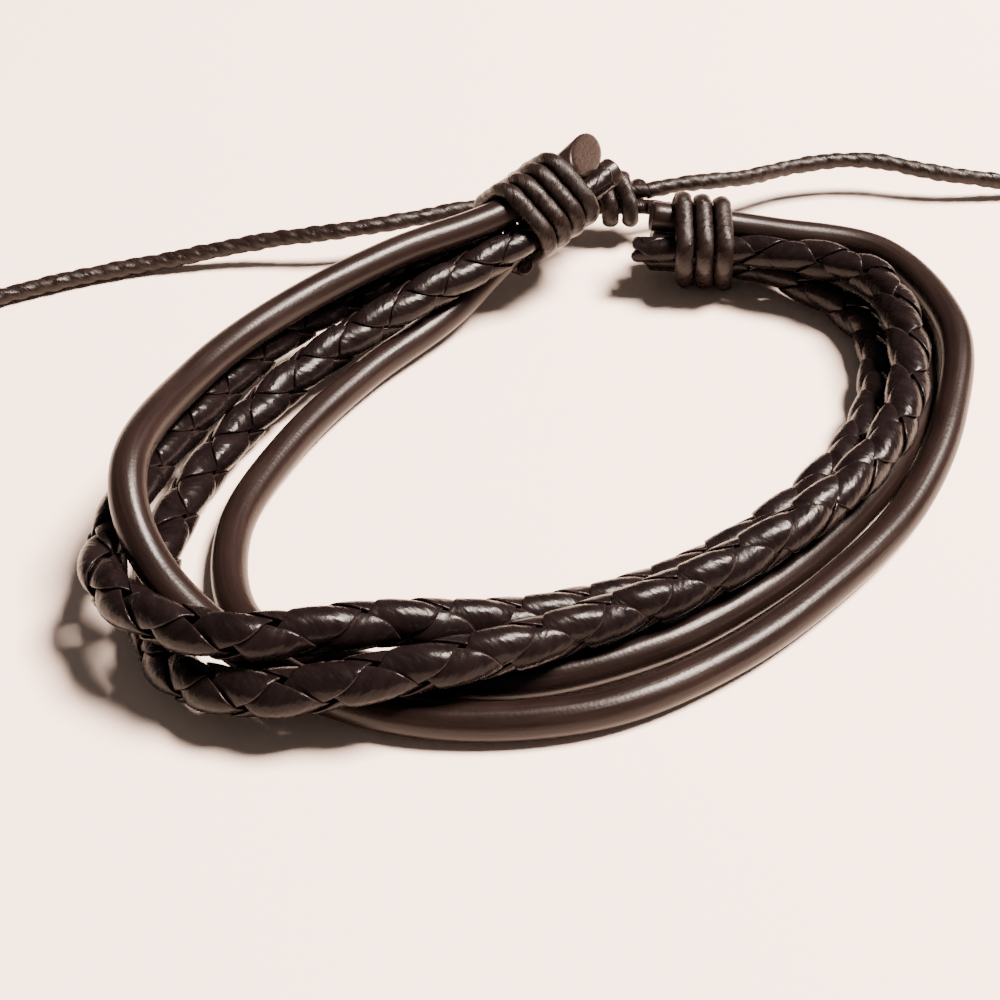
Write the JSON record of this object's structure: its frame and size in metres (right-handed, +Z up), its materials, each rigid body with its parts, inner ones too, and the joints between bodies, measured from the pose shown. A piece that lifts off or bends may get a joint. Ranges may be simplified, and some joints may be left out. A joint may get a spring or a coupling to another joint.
{
  "type": "bracelet",
  "caption": "Layered bracelet of smooth and plaited leather cords, bound with waxed cord and closed by a sliding knot.",
  "frame": {"origin": "middle of the bracelet's bounding box without the loose pull cords, at the surface it lies on", "axes": "+Z up from the surface, +Y towards the sliding knot, +X to the right of it"},
  "size_m": [0.118, 0.08, 0.0139],
  "materials": {
    "smooth_leather": "round leather cord, dyed dark brown, satin",
    "braided_leather": "flat leather strips, dyed nearly black brown, waxed to a gloss",
    "waxed_cord": "twisted cotton cord, dark grey brown, waxed"
  },
  "bodies": {
    "root": {"smooth_cord_1": "smooth_leather", "smooth_cord_2": "smooth_leather", "braid_a_strand_1": "braided_leather", "braid_a_strand_2": "braided_leather", "braid_a_strand_3": "braided_leather", "braid_a_strand_4": "braided_leather", "braid_b_strand_1": "braided_leather", "braid_b_strand_2": "braided_leather", "braid_b_strand_3": "braided_leather", "braid_b_strand_4": "braided_leather", "left_binding": "waxed_cord", "right_binding": "waxed_cord", "slide_knot": "waxed_cord", "left_pull_cord": "waxed_cord", "right_pull_cord": "waxed_cord"}
  },
  "joints": []
}
